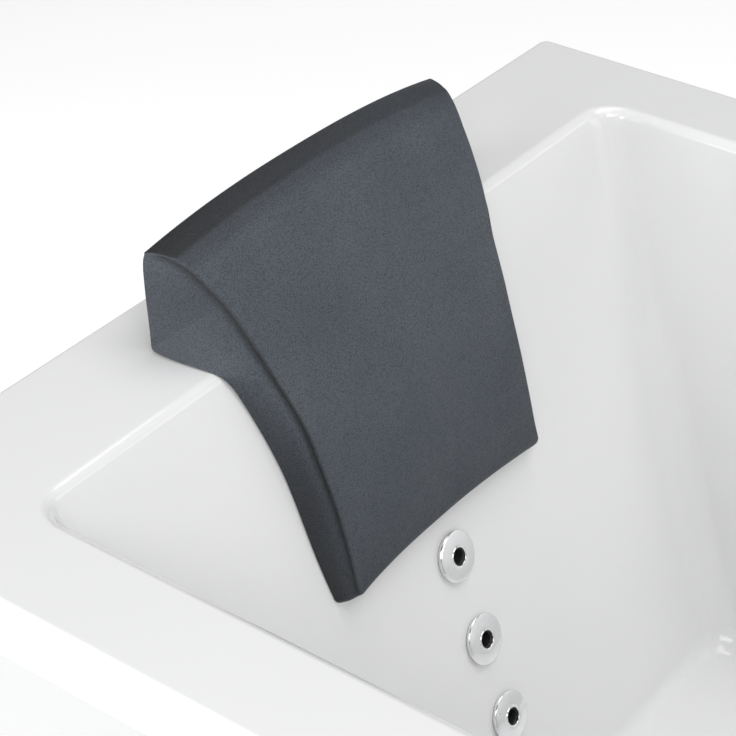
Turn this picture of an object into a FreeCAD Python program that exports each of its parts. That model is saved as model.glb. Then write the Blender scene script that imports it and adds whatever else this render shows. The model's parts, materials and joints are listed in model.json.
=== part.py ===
import FreeCAD, Part
import os, math
import Sketcher
from FreeCAD import Vector, Placement, Rotation

# Jetted bathtub, free standing against a wall.
# Model frame: origin at the middle of the footprint on the floor, +X along the
# tub towards the foot end (the sloped head end is at -X), -Y is the skirted
# front, +Z up. Millimetres.

os.makedirs("parts", exist_ok=True)
doc = FreeCAD.newDocument("jetted_bathtub")
sheet = doc.addObject("Spreadsheet::Sheet", "dims")
_row = [0]


class Q:
    """A number together with the sheet expression that gives it."""

    def __init__(self, v, e):
        self.v = float(v)
        self.e = e

    def __add__(self, o):
        return Q(self.v + val(o), "(%s + %s)" % (self.e, ex(o)))

    def __radd__(self, o):
        return Q(val(o) + self.v, "(%s + %s)" % (ex(o), self.e))

    def __sub__(self, o):
        return Q(self.v - val(o), "(%s - %s)" % (self.e, ex(o)))

    def __rsub__(self, o):
        return Q(val(o) - self.v, "(%s - %s)" % (ex(o), self.e))

    def __mul__(self, o):
        return Q(self.v * val(o), "(%s * %s)" % (self.e, ex(o)))

    def __rmul__(self, o):
        return Q(self.v * val(o), "(%s * %s)" % (self.e, ex(o)))

    def __truediv__(self, o):
        return Q(self.v / val(o), "(%s / %s)" % (self.e, ex(o)))

    def __neg__(self):
        return Q(-self.v, "(0 - %s)" % self.e)


def val(x):
    return x.v if isinstance(x, Q) else float(x)


def ex(x):
    return x.e if isinstance(x, Q) else ("(%.6f)" % float(x) if float(x) < 0 else "%.6f" % float(x))


def dim(name, value):
    _row[0] += 1
    c = "B%d" % _row[0]
    sheet.set("A%d" % _row[0], name)
    sheet.set(c, "%.6f" % value)
    sheet.setAlias(c, name)
    return Q(value, "dims." + name)


# ---- overall sizes -------------------------------------------------------
tub_long = dim("tub_long", 1800)
tub_wide = dim("tub_wide", 900)
tub_high = dim("tub_high", 640)
floor_top = dim("floor_top", 150)
skin = dim("skin_thick", 5)
backing = dim("backing_thick", 4)
lip_drop = dim("lip_drop", 45)
head_edge = dim("head_edge", -784.1)
foot_edge = dim("foot_edge", 795)
side_edge = dim("side_edge", 365.2)
slope_head = dim("slope_head", 0.410130)
slope_foot = dim("slope_foot", 0.140541)
slope_side = dim("slope_side", 0.117473)
corner_top = dim("corner_top", 26)
corner_low = dim("corner_low", 30)
floor_round = dim("floor_round", 28)
rim_round = dim("rim_round", 10)
panel_thick = dim("panel_thick", 5)
rail_size = dim("rail_size", 30)
rail_wall = dim("rail_wall", 2)
rail_line = dim("rail_line", 410)
rail_low = dim("rail_low", 93)
pipe_rad = dim("pipe_rad", 16)
pipe_bore = dim("pipe_bore", 13)
suct_rad = dim("suct_rad", 25)
suct_bore = dim("suct_bore", 21)
air_rad = dim("air_rad", 6)
air_bore = dim("air_bore", 4)
waste_rad = dim("waste_rad", 20)
waste_bore = dim("waste_bore", 18)
doc.recompute()

TH = math.atan(0.410130)
TF = math.atan(0.140541)
TS = math.atan(0.117473)
H = 640.0

# ---- small modelling helpers ---------------------------------------------
nodes = {}


def new_body(name):
    b = doc.addObject("PartDesign::Body", name)
    b.Label = name
    return b


def plane_of(b, role):
    return [f for f in b.Origin.OriginFeatures if f.Role == role][0]


def new_sketch(b, place=None, role="XY_Plane"):
    s = b.newObject("Sketcher::SketchObject", b.Name + "_sk")
    s.AttachmentSupport = [(plane_of(b, role), "")]
    s.MapMode = "FlatFace"
    if place is not None:
        s.AttachmentOffset = place
    return s


def bind(s, kind, g, p, value, tag):
    v = val(value)
    if abs(v) < 1e-9 and not isinstance(value, Q):
        s.addConstraint(Sketcher.Constraint("PointOnObject", g, p, -2 if kind == "DistanceX" else -1))
        return
    if v < 0:
        c = s.addConstraint(Sketcher.Constraint(kind, g, p, -1, 1, -v))
        e = -value if isinstance(value, Q) else -v
    else:
        c = s.addConstraint(Sketcher.Constraint(kind, -1, 1, g, p, v))
        e = value
    s.renameConstraint(c, tag)
    if isinstance(e, Q):
        s.setExpression("Constraints." + tag, e.e)


def poly(s, pts, arcs=None):
    """Closed outline; arcs maps a segment's index to (radius, centre)."""
    arcs = arcs or {}
    n = len(pts)
    g0 = s.GeometryCount
    for i in range(n):
        a, c = pts[i], pts[(i + 1) % n]
        pa = Vector(val(a[0]), val(a[1]), 0)
        pc = Vector(val(c[0]), val(c[1]), 0)
        if i in arcs:
            r, cx, cy, ccw = arcs[i]
            t0 = math.atan2(pa.y - cy, pa.x - cx)
            t1 = math.atan2(pc.y - cy, pc.x - cx)
            cir = Part.Circle(Vector(cx, cy, 0), Vector(0, 0, 1), val(r))
            if ccw:
                s.addGeometry(Part.ArcOfCircle(cir, t0, t1), False)
            else:
                s.addGeometry(Part.ArcOfCircle(cir, t1, t0), False)
        else:
            s.addGeometry(Part.LineSegment(pa, pc), False)

    def end(i, which):
        i = i % n
        if i in arcs and not arcs[i][3]:
            return g0 + i, (2 if which == 1 else 1)
        return g0 + i, which

    for i in range(n):
        a, b = end(i, 2), end(i + 1, 1)
        s.addConstraint(Sketcher.Constraint("Coincident", a[0], a[1], b[0], b[1]))
    for i, p in enumerate(pts):
        g, w = end(i, 1)
        bind(s, "DistanceX", g, w, p[0], "px%d_%d" % (g0, i))
        bind(s, "DistanceY", g, w, p[1], "py%d_%d" % (g0, i))
    for i in arcs:
        r = arcs[i][0]
        c = s.addConstraint(Sketcher.Constraint("Radius", g0 + i, val(r)))
        s.renameConstraint(c, "rr%d_%d" % (g0, i))
        if isinstance(r, Q):
            s.setExpression("Constraints.rr%d_%d" % (g0, i), r.e)


def circ(s, cx, cy, r):
    g = s.addGeometry(Part.Circle(Vector(val(cx), val(cy), 0), Vector(0, 0, 1), val(r)), False)
    if abs(val(cx)) < 1e-9 and abs(val(cy)) < 1e-9:
        s.addConstraint(Sketcher.Constraint("Coincident", g, 3, -1, 1))
    else:
        bind(s, "DistanceX", g, 3, cx, "circ_x%d" % g)
        bind(s, "DistanceY", g, 3, cy, "circ_y%d" % g)
    c = s.addConstraint(Sketcher.Constraint("Radius", g, val(r)))
    s.renameConstraint(c, "circ_r%d" % g)
    if isinstance(r, Q):
        s.setExpression("Constraints.circ_r%d" % g, r.e)


def rrect(s, x0, x1, y0, y1, r):
    """Rectangle with four equal round corners, fully constrained."""
    X0, X1, Y0, Y1, R = val(x0), val(x1), val(y0), val(y1), val(r)
    g = s.GeometryCount
    hp = math.pi / 2
    s.addGeometry(Part.LineSegment(Vector(X0 + R, Y0, 0), Vector(X1 - R, Y0, 0)), False)
    s.addGeometry(Part.ArcOfCircle(Part.Circle(Vector(X1 - R, Y0 + R, 0), Vector(0, 0, 1), R), -hp, 0), False)
    s.addGeometry(Part.LineSegment(Vector(X1, Y0 + R, 0), Vector(X1, Y1 - R, 0)), False)
    s.addGeometry(Part.ArcOfCircle(Part.Circle(Vector(X1 - R, Y1 - R, 0), Vector(0, 0, 1), R), 0, hp), False)
    s.addGeometry(Part.LineSegment(Vector(X1 - R, Y1, 0), Vector(X0 + R, Y1, 0)), False)
    s.addGeometry(Part.ArcOfCircle(Part.Circle(Vector(X0 + R, Y1 - R, 0), Vector(0, 0, 1), R), hp, 2 * hp), False)
    s.addGeometry(Part.LineSegment(Vector(X0, Y1 - R, 0), Vector(X0, Y0 + R, 0)), False)
    s.addGeometry(Part.ArcOfCircle(Part.Circle(Vector(X0 + R, Y0 + R, 0), Vector(0, 0, 1), R), 2 * hp, 3 * hp), False)
    for i in range(8):
        s.addConstraint(Sketcher.Constraint("Tangent", g + i, 2, g + (i + 1) % 8, 1))
    for i, k in ((0, "Horizontal"), (4, "Horizontal"), (2, "Vertical"), (6, "Vertical")):
        s.addConstraint(Sketcher.Constraint(k, g + i))
    bind(s, "DistanceY", g, 1, y0, "low_side")
    bind(s, "DistanceX", g + 2, 1, x1, "far_side")
    bind(s, "DistanceY", g + 4, 1, y1, "high_side")
    bind(s, "DistanceX", g + 6, 1, x0, "near_side")
    for i in (3, 5, 7):
        s.addConstraint(Sketcher.Constraint("Equal", g + 1, g + i))
    c = s.addConstraint(Sketcher.Constraint("Radius", g + 1, R))
    s.renameConstraint(c, "round_corner")
    if isinstance(r, Q):
        s.setExpression("Constraints.round_corner", r.e)


def at(x, y, z, rot=None):
    return Placement(Vector(x, y, z), rot if rot is not None else Rotation())


def frame_at(o, zdir, xdir):
    """Placement whose Z runs along zdir and whose X runs along xdir."""
    z = Vector(*zdir)
    z.normalize()
    x = Vector(*xdir)
    x = x - z * x.dot(z)
    x.normalize()
    y = z.cross(x)
    return Placement(Vector(*o), Rotation(x, y, z, "ZXY"))


def pad(b, s, length, rev=False):
    p = b.newObject("PartDesign::Pad", b.Name + "_pad")
    p.Profile = s
    p.Length = val(length)
    if isinstance(length, Q):
        p.setExpression("Length", length.e)
    p.Reversed = rev
    b.Tip = p
    return p


def pocket(b, s, length, rev=False, must=True):
    before = b.Shape.Volume
    p = b.newObject("PartDesign::Pocket", b.Name + "_cut")
    p.Profile = s
    p.Length = val(length)
    if isinstance(length, Q):
        p.setExpression("Length", length.e)
    p.Reversed = rev
    b.Tip = p
    doc.recompute()
    if must and not b.Shape.Volume < before - 0.5:
        raise RuntimeError("cut removed nothing in " + b.Name)
    return p


def revolve(b, s, angle=360.0):
    p = b.newObject("PartDesign::Revolution", b.Name + "_rev")
    p.Profile = s
    p.ReferenceAxis = (s, ["V_Axis"])
    p.Angle = angle
    b.Tip = p
    return p


def turned(name, pts, place, arcs=None):
    """Turned piece: outline of (radius, height) points round its own Z."""
    b = new_body(name)
    s = new_sketch(b, role="XZ_Plane")
    poly(s, pts, arcs)
    revolve(b, s)
    b.Placement = place
    return b


def bar(name, p0, p1, r, bore=None):
    """Round bar or tube from p0 to p1."""
    a, c = Vector(*p0), Vector(*p1)
    d = c - a
    b = new_body(name)
    s = new_sketch(b)
    circ(s, 0, 0, r)
    if bore is not None:
        circ(s, 0, 0, bore)
    pad(b, s, d.Length)
    up = Vector(0, 0, 1)
    b.Placement = Placement(a, Rotation(up, d))
    return b


def bend(name, corner, a, c, rad, r, bore):
    """Quarter bend at a corner; a and c point from the corner along the two legs."""
    a, c, o = Vector(*a), Vector(*c), Vector(*corner)
    a.normalize()
    c.normalize()
    ctr = o + (a + c) * rad
    b = new_body(name)
    s = new_sketch(b, role="XZ_Plane")
    circ(s, rad, 0, r)
    if bore is not None:
        circ(s, rad, 0, bore)
    revolve(b, s, 90.0)
    zz = c.cross(a)
    b.Placement = Placement(ctr, Rotation(c * -1, a * -1, zz, "ZXY"))
    return b


def box_tube(name, p0, p1, size, wall, xdir=(1, 0, 0)):
    """Square tube from p0 to p1."""
    a, c = Vector(*p0), Vector(*p1)
    d = c - a
    b = new_body(name)
    s = new_sketch(b)
    h = size * 0.5
    poly(s, [(-h, -h), (h, -h), (h, h), (-h, h)])
    k = h - wall
    poly(s, [(-k, -k), (k, -k), (k, k), (-k, k)])
    pad(b, s, d.Length)
    b.Placement = frame_at(p0, (d.x, d.y, d.z), xdir)
    return b


def hexnut(name, place, flats, height, bore):
    b = new_body(name)
    s = new_sketch(b)
    rr = flats / math.sqrt(3.0)
    poly(s, [(rr * math.cos(math.radians(60 * i + 0.0)), rr * math.sin(math.radians(60 * i + 0.0))) for i in range(6)])
    circ(s, 0, 0, bore)
    pad(b, s, height)
    b.Placement = place
    return b


def stub(b, place, r, length, bore=None):
    """Round spigot added to a body; place is in the body's own frame, along its Z."""
    s = new_sketch(b, place)
    circ(s, 0, 0, r)
    if bore is not None:
        circ(s, 0, 0, bore)
    return pad(b, s, length)


def single(node, obj):
    nodes[node] = obj
    return obj


def group(node, objs):
    g = doc.addObject("Part::Compound", node)
    g.Label = node
    g.Links = objs
    nodes[node] = g
    return g


def edge_pick(shape, test):
    return ["Edge%d" % (i + 1) for i, e in enumerate(shape.Edges) if test(e)]


def fillet(b, tip, edges, r):
    f = b.newObject("PartDesign::Fillet", b.Name + "_fil")
    f.Base = (tip, edges)
    f.Radius = val(r)
    if isinstance(r, Q):
        f.setExpression("Radius", r.e)
    b.Tip = f
    doc.recompute()
    return f


# ---- wall positions -------------------------------------------------------
def head_x(z, off):
    return head_edge + slope_head * (tub_high - z) - off / math.cos(TH)


def foot_x(z, off):
    return foot_edge - slope_foot * (tub_high - z) + off / math.cos(TF)


def side_y(z, off):
    return side_edge - slope_side * (tub_high - z) + off / math.cos(TS)


def loft_between(b, ztop, zlow, off_q, sub=False):
    """Tapered tub solid between two heights, offset outwards from the basin wall."""
    sk = []
    for z, rad in ((ztop, corner_top), (zlow, corner_low)):
        s = new_sketch(b, at(0, 0, val(z)))
        if isinstance(z, Q):
            s.setExpression("AttachmentOffset.Base.z", z.e)
        rrect(s, head_x(z, off_q), foot_x(z, off_q), -side_y(z, off_q), side_y(z, off_q), rad + off_q)
        sk.append(s)
    f = b.newObject("PartDesign::SubtractiveLoft" if sub else "PartDesign::AdditiveLoft", b.Name + "_loft")
    f.Profile = sk[0]
    f.Sections = [sk[1]]
    f.Ruled = True
    b.Tip = f
    doc.recompute()
    return f


# local frames on the basin walls, Z pointing into the basin
n_head = (math.cos(TH), 0, math.sin(TH))
u_head = (math.sin(TH), 0, -math.cos(TH))
n_foot = (-math.cos(TF), 0, math.sin(TF))
n_back = (0, -math.cos(TS), math.sin(TS))
n_front = (0, math.cos(TS), math.sin(TS))


def on_head(s, y, d=0.0):
    """Point on the backrest, s below the top of its flat part, d into the basin."""
    z = 630.0 - s
    x = val(head_edge) + 0.410130 * (H - z)
    return (x + n_head[0] * d, y, z + n_head[2] * d)


def on_side(x, z, sign, d=0.0):
    y = sign * (365.2 - 0.117473 * (H - z))
    n = n_back if sign > 0 else n_front
    return (x, y + n[1] * d, z + n[2] * d)


def on_foot(y, z, d=0.0):
    x = 795.0 - 0.140541 * (H - z)
    return (x + n_foot[0] * d, y, z + n_foot[2] * d)


JET_S = [226.0, 300.0, 371.0]
SIDE_X = 150.0
SIDE_Z = 310.0
SUC_X, SUC_Z = -450.0, 255.0
OVF_Z = 565.0
DRAIN_X = 600.0
CTRL_X, CTRL_Y = 850.0, 170.0
STUD_S, STUD_Y = 122.0, 90.0
jet_hole = dim("jet_hole", 17)
suct_hole = dim("suct_hole", 25.5)
over_hole = dim("over_hole", 20)
drain_hole = dim("drain_hole", 24)
deck_hole = dim("deck_hole", 22)
stud_hole = dim("stud_hole", 4.06)


def cut_wall_holes(b):
    """Holes for the jets, suction, overflow and pillow studs."""
    s = new_sketch(b, frame_at(on_head(300.0, 0, 12), n_head, u_head))
    for js in JET_S:
        circ(s, (js - 300.0) / math.cos(TH), 0, jet_hole)
    pocket(b, s, 34)
    for y in (-STUD_Y, STUD_Y):
        s = new_sketch(b, frame_at(on_head(STUD_S, y, 12), n_head, u_head))
        circ(s, 0, 0, stud_hole)
        pocket(b, s, 34)
    for sign, n in ((1, n_back), (-1, n_front)):
        s = new_sketch(b, frame_at(on_side(SIDE_X, SIDE_Z, sign, 12), n, (1, 0, 0)))
        circ(s, 0, 0, jet_hole)
        pocket(b, s, 34)
    s = new_sketch(b, frame_at(on_side(SUC_X, SUC_Z, -1, 12), n_front, (1, 0, 0)))
    circ(s, 0, 0, suct_hole)
    pocket(b, s, 34)
    s = new_sketch(b, frame_at(on_foot(0, OVF_Z, 12), n_foot, (0, 1, 0)))
    circ(s, 0, 0, over_hole)
    pocket(b, s, 34)


def cut_flat_holes(b):
    """Holes for the waste in the floor and for the two deck controls."""
    s = new_sketch(b, at(DRAIN_X, 0, 165))
    circ(s, 0, 0, drain_hole)
    pocket(b, s, 40)
    s = new_sketch(b, at(0, 0, 650))
    circ(s, CTRL_X, -CTRL_Y, deck_hole)
    circ(s, CTRL_X, CTRL_Y, deck_hole)
    pocket(b, s, 30)


# ---- the tub itself -------------------------------------------------------
b = new_body("tub_shell")
s = new_sketch(b, at(0, 0, H - 45))
s.setExpression("AttachmentOffset.Base.z", (tub_high - lip_drop).e)
hx, hy = tub_long * 0.5, tub_wide * 0.5
rrect(s, -hx, hx, -hy, hy, 10)
pad(b, s, lip_drop)
doc.recompute()
s = new_sketch(b, at(0, 0, H - 45))
s.setExpression("AttachmentOffset.Base.z", (tub_high - lip_drop).e)
rrect(s, -hx + skin, hx - skin, -hy + skin, hy - skin, 5)
pocket(b, s, lip_drop - skin, rev=True)
loft_between(b, tub_high - skin, floor_top - skin, skin)
loft_between(b, tub_high, floor_top, Q(0, "0"), sub=True)
tip = b.Tip


def low_edge(z, tol=0.6):
    def t(e):
        bb = e.BoundBox
        return abs(bb.ZMin - z) < tol and abs(bb.ZMax - z) < tol
    return t


def inner_rim(e):
    bb = e.BoundBox
    return abs(bb.ZMin - H) < 0.3 and abs(bb.ZMax - H) < 0.3 and abs(e.CenterOfMass.x) < 830 and abs(e.CenterOfMass.y) < 400


def outer_rim(e):
    bb = e.BoundBox
    return abs(bb.ZMin - H) < 0.3 and abs(bb.ZMax - H) < 0.3 and (abs(e.CenterOfMass.x) > 880 or abs(e.CenterOfMass.y) > 430)


cut_wall_holes(b)
tip = fillet(b, b.Tip, edge_pick(b.Shape, low_edge(150.0)), floor_round)
tip = fillet(b, b.Tip, edge_pick(b.Shape, low_edge(145.0)), floor_round + skin)
tip = fillet(b, b.Tip, edge_pick(b.Shape, inner_rim), rim_round)
tip = fillet(b, b.Tip, edge_pick(b.Shape, outer_rim), 6)
cut_flat_holes(b)
single("tub_shell", b)
print("shell", b.Shape.isValid(), len(b.Shape.Solids), b.Shape.BoundBox)

b = new_body("shell_backing")
s = new_sketch(b, at(0, 0, H - 9))
s.setExpression("AttachmentOffset.Base.z", (tub_high - skin - backing).e)
rrect(s, -hx + 10, hx - 10, -hy + 10, hy - 10, 5)
pad(b, s, backing)
loft_between(b, tub_high - skin - backing, floor_top - skin - backing, skin + backing)
loft_between(b, tub_high - skin, floor_top - skin, skin, sub=True)
cut_wall_holes(b)
fillet(b, b.Tip, edge_pick(b.Shape, low_edge(145.0)), floor_round + skin)
fillet(b, b.Tip, edge_pick(b.Shape, low_edge(141.0)), floor_round + skin + backing)
cut_flat_holes(b)
single("shell_backing", b)
print("backing", b.Shape.isValid(), len(b.Shape.Solids), b.Shape.BoundBox)

# bonded board that stiffens the tub floor
board_thick = dim("board_thick", 18)
b = new_body("base_board")
s = new_sketch(b, at(0, 0, 123))
rrect(s, -530, 520, -250, 250, 20)
pad(b, s, board_thick)
single("base_board", b)

# ---- skirt panels ---------------------------------------------------------
panel_low = dim("panel_low", 12)
panel_tall = dim("panel_tall", 615)
SCR_TOP, SCR_LOW = 480.0, 200.0


def vertical_at(x, y, tol=1.2):
    def t(e):
        bb = e.BoundBox
        c = e.CenterOfMass
        return bb.ZMax - bb.ZMin > 300 and abs(c.x - x) < tol and abs(c.y - y) < tol
    return t


b = new_body("front_apron")
s = new_sketch(b, at(0, 0, 12))
s.setExpression("AttachmentOffset.Base.z", panel_low.e)
o, i = hx - 6, hx - 6 - panel_thick
fy, fi = hy - 6, hy - 6 - panel_thick
poly(s, [(-o, -fy), (o, -fy), (o, -404), (i, -404), (i, -fi), (-i, -fi), (-i, -404), (-o, -404)])
pad(b, s, panel_tall)
doc.recompute()
fillet(b, b.Tip, edge_pick(b.Shape, lambda e: vertical_at(894, -444)(e) or vertical_at(-894, -444)(e)), 9)
fillet(b, b.Tip, edge_pick(b.Shape, lambda e: vertical_at(889, -439)(e) or vertical_at(-889, -439)(e)), 4)
for x in (-600, 0, 600):
    s = new_sketch(b, frame_at((x, -450, 108), (0, -1, 0), (1, 0, 0)))
    circ(s, 0, 0, 2.6)
    pocket(b, s, 16)
for sx in (-1, 1):
    s = new_sketch(b, frame_at((sx * 900, -414, 0), (sx, 0, 0), (0, 0, 1)))
    circ(s, SCR_LOW, 0, 2.6)
    circ(s, SCR_TOP, 0, 2.6)
    pocket(b, s, 14)
single("front_apron", b)

for name, sx in (("head_end_panel", -1), ("foot_end_panel", 1)):
    b = new_body(name)
    s = new_sketch(b, at(0, 0, 12))
    s.setExpression("AttachmentOffset.Base.z", panel_low.e)
    pts = [(o * sx, -402.5), (o * sx, fy), ((o - 30) * sx, fy), ((o - 30) * sx, fi), (i * sx, fi), (i * sx, -402.5)]
    poly(s, pts)
    pad(b, s, panel_tall)
    doc.recompute()
    fillet(b, b.Tip, edge_pick(b.Shape, vertical_at(894 * sx, 444)), 9)
    fillet(b, b.Tip, edge_pick(b.Shape, vertical_at(889 * sx, 439)), 4)
    s = new_sketch(b, frame_at((sx * 900, 410, 0), (sx, 0, 0), (0, 0, 1)))
    circ(s, SCR_LOW, 0, 2.6)
    circ(s, SCR_TOP, 0, 2.6)
    pocket(b, s, 14)
    single(name, b)

scr_head = dim("scr_head", 6)
scr_shank = dim("scr_shank", 2.5)
screws, spacers = [], []


def screw(name, tip_pt, out, length):
    """Pan head screw whose shank starts at tip_pt and runs outwards."""
    L = length
    return turned(name, [(0, 0), (scr_shank, 0), (scr_shank, L), (scr_head, L), (scr_head, L + 1.2), (scr_head - 1.6, L + 2.4), (0, L + 2.4)],
                  frame_at(tip_pt, out, (0, 0, 1) if abs(out[2]) < 0.5 else (1, 0, 0)))


def spacer(name, p0, out, length):
    return turned(name, [(2.6, 0), (7, 0), (7, length), (2.6, length)], frame_at(p0, out, (0, 0, 1)))


k = 0
for x in (-600, 0, 600):
    screws.append(screw("screw_front_%d" % k, (x, -425, 108), (0, -1, 0), 19))
    spacers.append(spacer("spacer_front_%d" % k, (x, -425, 108), (0, -1, 0), 14))
    k += 1
for sx in (-1, 1):
    for y in (-414, 410):
        for z in (SCR_LOW, SCR_TOP):
            screws.append(screw("screw_side_%d" % k, (sx * 883, y, z), (sx, 0, 0), 11))
            spacers.append(spacer("spacer_side_%d" % k, (sx * 883, y, z), (sx, 0, 0), 6))
            k += 1

# ---- steel frame ----------------------------------------------------------
RL = 410.0
zr = 108.0
group("frame_base_rails", [box_tube("base_rail_%d" % j, (-883, sy * RL, zr), (883, sy * RL, zr), rail_size, rail_wall, (0, 0, 1))
                           for j, sy in enumerate((-1, 1))])
group("frame_cross_rails", [box_tube("cross_rail_%d" % j, (x, -395, zr), (x, 395, zr), rail_size, rail_wall, (0, 0, 1))
                            for j, x in enumerate((-868, -480, 0, 400, 780))])
group("frame_posts", [box_tube("post_%d" % j, (x, y, 123), (x, y, 601), rail_size, rail_wall, (1, 0, 0))
                      for j, (x, y) in enumerate([(-868, -RL), (0, -RL), (868, -RL), (-868, RL), (0, RL), (868, RL)])])
group("frame_rim_rails", [box_tube("rim_rail_%d" % j, (-883, sy * RL, 616), (883, sy * RL, 616), rail_size, rail_wall, (0, 0, 1))
                          for j, sy in enumerate((-1, 1))])

# levelling feet
pad_rad = dim("pad_rad", 30)
FEET = [(x, y) for x in (-760, 0, 760) for y in (-RL, RL)]
group("foot_pads", [turned("foot_pad_%d" % j, [(0, 0), (pad_rad, 0), (pad_rad, 4), (pad_rad - 6, 9), (10, 11), (10, 16), (0, 16)], at(x, y, 0))
                    for j, (x, y) in enumerate(FEET)])
group("foot_studs", [bar("foot_stud_%d" % j, (x, y, 16), (x, y, 93), 6) for j, (x, y) in enumerate(FEET)])
group("foot_lock_nuts", [hexnut("foot_nut_%d" % j, at(x, y, 83), 19, 10, 6.0) for j, (x, y) in enumerate(FEET)])

# ---- jets -----------------------------------------------------------------
ring_rad = dim("ring_rad", 22)
ring_sleeve = dim("ring_sleeve", 12.6)
ball_rad = dim("ball_rad", 10.8)
body_bore = dim("body_bore", 12.66)
neck_rad = dim("neck_rad", 16.4)
jet_back = dim("jet_back", 60)
BALL_Z = -3.6
WATER_D = 36.0
AIR_D = 27.0
AIR_OFF = 32.0
u_up = (-u_head[0], 0, -u_head[2])
jet_frames = [frame_at(on_head(js, 0), n_head, u_up) for js in JET_S]
jet_frames += [frame_at(on_side(SIDE_X, SIDE_Z, 1), n_back, (1, 0, 0)),
               frame_at(on_side(SIDE_X, SIDE_Z, -1), n_front, (-1, 0, 0))]
# air spigot side: +Y of the local frame
bodies_, gaskets, nuts = [], [], []
for j, fr in enumerate(jet_frames):
    n = j + 1
    gaskets.append(turned("jet_gasket_%d" % n, [(17.2, 0), (20.4, 0), (20.4, 0.8), (17.2, 0.8)], fr))
    jb = turned("jet_body_%d" % n, [
        (body_bore, 2.8), (21.0, 2.8), (21.0, 0.8), (neck_rad, 0.8), (neck_rad, -18), (20.5, -18), (20.5, -jet_back),
        (0, -jet_back), (0, -20), (body_bore, -20)], fr)
    stub(jb, frame_at((-30, 0, -WATER_D), (1, 0, 0), (0, 1, 0)), 19, 60)
    stub(jb, frame_at((0, 12, -AIR_D), (0, 1, 0), (1, 0, 0)), 7.5, AIR_OFF - 12)
    stub(jb, frame_at((-12, AIR_OFF, -AIR_D), (1, 0, 0), (0, 1, 0)), 8, 24)
    bodies_.append(jb)
    nuts.append(hexnut("jet_nut_%d" % n, fr * at(0, 0, -16.8), 44, 7.6, 16.6))
    c = BALL_Z
    ring = turned("jet_ring_%d" % n, [
        (7.6, c + 8.2), (7.6, 5.5), (8.3, 6.2), (10.5, 6.45), (13.0, 6.25), (15.5, 5.8), (18.0, 5.15), (20.0, 4.45),
        (21.3, 4.1), (ring_rad, 3.55), (ring_rad, 3.1), (ring_sleeve, 3.1), (ring_sleeve, -10), (11.2, -10), (11.2, c + 0.6),
        (10.6, c + 3.6), (8.9, c + 6.8)], fr)
    single("jet_ring_%d" % n, ring)
    zb, zf = -7.0, 8.1
    rb, rf = math.sqrt(10.8 ** 2 - zb ** 2), math.sqrt(10.8 ** 2 - zf ** 2)
    noz = turned("jet_nozzle_%d" % n, [
        (4.2, c + zb), (rb, c + zb), (rf, c + zf), (4.6, c + zf), (3.4, c + zf - 3.0)], fr,
        arcs={1: (ball_rad, 0.0, c, True)})
    single("jet_nozzle_%d" % n, noz)
group("jet_gaskets", gaskets)
group("jet_bodies", bodies_)
group("jet_lock_nuts", nuts)

# ---- suction fitting, low on the front wall --------------------------------
sf = frame_at(on_side(SUC_X, SUC_Z, -1), n_front, (-1, 0, 0))
sb = turned("suction_body", [(20, 3), (40, 3), (40, 0.6), (24.8, 0.6), (24.8, -13.5), (31, -13.5), (31, -74), (0, -74), (0, -58), (20, -58)], sf)
stub(sb, frame_at((22, 0, -44), (1, 0, 0), (0, 1, 0)), 28, 24)
single("suction_body", sb)
sc = new_body("suction_cover")
s = new_sketch(sc, role="XZ_Plane")
poly(s, [(2.6, 3.2), (30, 3.2), (42, 3.2), (45, 4.4), (42, 7.2), (30, 9.6), (12, 11.2), (2.6, 11.2)])
revolve(sc, s)
doc.recompute()
holes = []
for rr, cnt, hr in ((15, 8, 2.6), (26, 14, 2.8), (36, 20, 2.2)):
    s = new_sketch(sc, at(0, 0, 16))
    for q in range(cnt):
        a = 2 * math.pi * (q + 0.5) / cnt
        circ(s, rr * math.cos(a), rr * math.sin(a), hr)
    pocket(sc, s, 20)
sc.Placement = sf
single("suction_cover", sc)
screws.append(turned("screw_suction", [(0, 3.2), (2.5, 3.2), (2.5, 11.2), (6, 11.2), (6, 12.2), (4.2, 13.4), (0, 13.4)], sf))
group("panel_screws", screws)
group("panel_spacers", spacers)

# ---- water pipes ------------------------------------------------------------
PX = -740.0          # pump axis X
PZ = 188.0           # pump axis Z
RX = -770.0          # riser X
RY = 130.0           # riser Y
water, fits = [], []


def off_pt(p, d, n):
    return (p[0] + n[0] * d, p[1] + n[1] * d, p[2] + n[2] * d)


def add(p, q, k=1.0):
    return (p[0] + q[0] * k, p[1] + q[1] * k, p[2] + q[2] * k)


R1 = 24.0
jw = [off_pt(on_head(js, 0), -WATER_D, n_head) for js in JET_S]
s_top = (RX - (val(head_edge) + 0.410130 * 10.0) + n_head[0] * WATER_D) / 0.410130
top = off_pt(on_head(s_top, 0), -WATER_D, n_head)
water.append(bar("pipe_back_a", add(top, u_head, R1), add(jw[0], u_head, -30), pipe_rad, pipe_bore))
water.append(bar("pipe_back_b", add(jw[0], u_head, 30), add(jw[1], u_head, -30), pipe_rad, pipe_bore))
water.append(bar("pipe_back_c", add(jw[1], u_head, 30), add(jw[2], u_head, -30), pipe_rad, pipe_bore))
fits.append(turned("cap_back", [(0, 0), (19, 0), (19, 12), (16, 15), (0, 15)], frame_at(add(jw[2], u_head, 30), u_head, (0, 1, 0))))
fits.append(bend("bend_top_a", top, (0, 1, 0), u_head, R1, 19.0, 13.0))
water.append(bar("pipe_top", add(top, (0, 1, 0), R1), (RX, RY - R1, top[2]), pipe_rad, pipe_bore))
fits.append(bend("bend_top_b", (RX, RY, top[2]), (0, -1, 0), (0, 0, -1), R1, 19.0, 13.0))
sw = on_side(SIDE_X, SIDE_Z, 1, -WATER_D)
YB, ZB = sw[1], sw[2]
fc = new_body("cross_riser")
s = new_sketch(fc, at(0, 0, -30))
circ(s, 0, 0, 19)
pad(fc, s, 60)
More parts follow.
